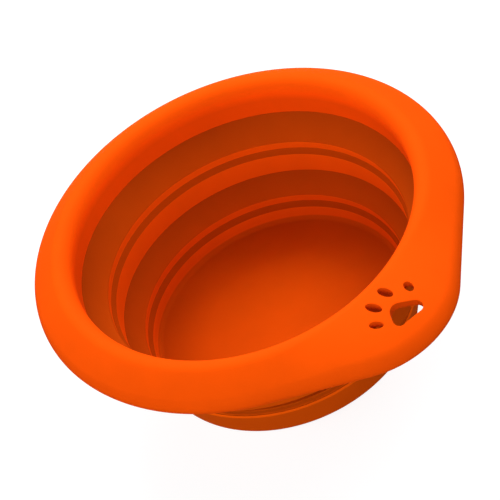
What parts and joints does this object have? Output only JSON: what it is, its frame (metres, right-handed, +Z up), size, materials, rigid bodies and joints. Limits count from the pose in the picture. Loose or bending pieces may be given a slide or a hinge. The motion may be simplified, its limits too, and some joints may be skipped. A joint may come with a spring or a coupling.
{
  "type": "collapsible pet bowl",
  "caption": "Round pet bowl that presses flat: stiff rim with a hang tab and paw cut-outs, stiff bands joined by thin conical fold webs, and a flat base.",
  "frame": {"origin": "centre of the base's flat underside, on the bowl's axis", "axes": "+Z up along the bowl's axis, +X from the axis towards the hang tab"},
  "size_m": [0.1415, 0.13, 0.0495],
  "materials": {
    "rim_plastic": "matte orange moulded rim",
    "stiff_plastic": "matte orange moulded wall",
    "fold_web": "matte orange elastomer, thin and flexible"
  },
  "bodies": {
    "base": {"base_cup": "stiff_plastic", "lower_fold_web": "fold_web"},
    "middle": {"middle_ring": "stiff_plastic", "upper_fold_web": "fold_web"},
    "rim": {"rim": "rim_plastic"}
  },
  "joints": [
    {"name": "lower_fold", "type": "slide", "parent": "base", "child": "middle", "axis": [0, 0, -1], "range_m": [0, 0.0122], "deforming": ["lower_fold_web"]},
    {"name": "upper_fold", "type": "slide", "parent": "middle", "child": "rim", "axis": [0, 0, -1], "range_m": [0, 0.0144], "deforming": ["upper_fold_web"]}
  ]
}
